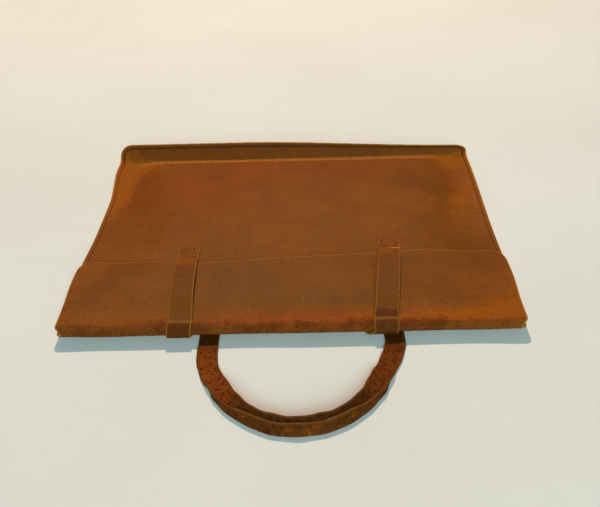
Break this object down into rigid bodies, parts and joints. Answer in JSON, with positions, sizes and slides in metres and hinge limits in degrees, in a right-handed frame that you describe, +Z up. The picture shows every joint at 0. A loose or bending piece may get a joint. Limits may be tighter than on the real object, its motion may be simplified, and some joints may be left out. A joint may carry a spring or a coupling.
{
  "type": "leather document case",
  "caption": "Flat sewn leather document case with a fold-over flap, straps over the flap, stitched patches and a carry handle with folded grip.",
  "frame": {"origin": "Centre of the bounding box in X and Y, on the plane the case lies on.", "axes": "+Z is up through the thickness of the lying case, +Y runs from the handle to the far sewn edge, +X runs along the width to the right as seen from the handle."},
  "size_m": [0.4, 0.4074, 0.0254],
  "materials": {
    "case_leather": "worn satin brown",
    "strap_leather": "worn satin brown",
    "handle_leather": "dark, cracked and rubbed",
    "thread": "waxed dark linen thread"
  },
  "bodies": {
    "case": {"back_panel": "case_leather", "front_panel": "case_leather", "seam_thread": "thread", "patch_left": "strap_leather", "patch_right": "strap_leather", "patch_thread_left": "thread", "patch_thread_right": "thread", "flap_fold": "case_leather", "strap_tail_left": "strap_leather", "strap_tail_right": "strap_leather", "handle_tab_left": "handle_leather", "handle_tab_right": "handle_leather", "tab_thread_left": "thread", "tab_thread_right": "thread"},
    "flap": {"flap": "case_leather"},
    "strap_left": {"strap_left": "strap_leather"},
    "strap_right": {"strap_right": "strap_leather"},
    "handle": {"handle_strap": "handle_leather", "handle_wrap": "handle_leather"}
  },
  "joints": [
    {"name": "flap_hinge", "type": "hinge", "parent": "case", "child": "flap", "pos_m": [0, -0.09387, 0.01145], "axis": [1, 0, 0], "range_deg": [0, 105], "deforming": ["flap_fold", "strap_tail_left", "strap_tail_right"]},
    {"name": "strap_left_lift", "type": "hinge", "parent": "flap", "child": "strap_left", "pos_m": [-0.091, -0.09167, 0.0196], "axis": [1, 0, 0], "range_deg": [0, 20]},
    {"name": "strap_right_lift", "type": "hinge", "parent": "flap", "child": "strap_right", "pos_m": [0.0775, -0.09167, 0.0196], "axis": [1, 0, 0], "range_deg": [0, 20]},
    {"name": "handle_swing", "type": "hinge", "parent": "case", "child": "handle", "pos_m": [0.0095, -0.10952, 0.001], "axis": [-1, 0, 0], "range_deg": [-70, 35]}
  ]
}
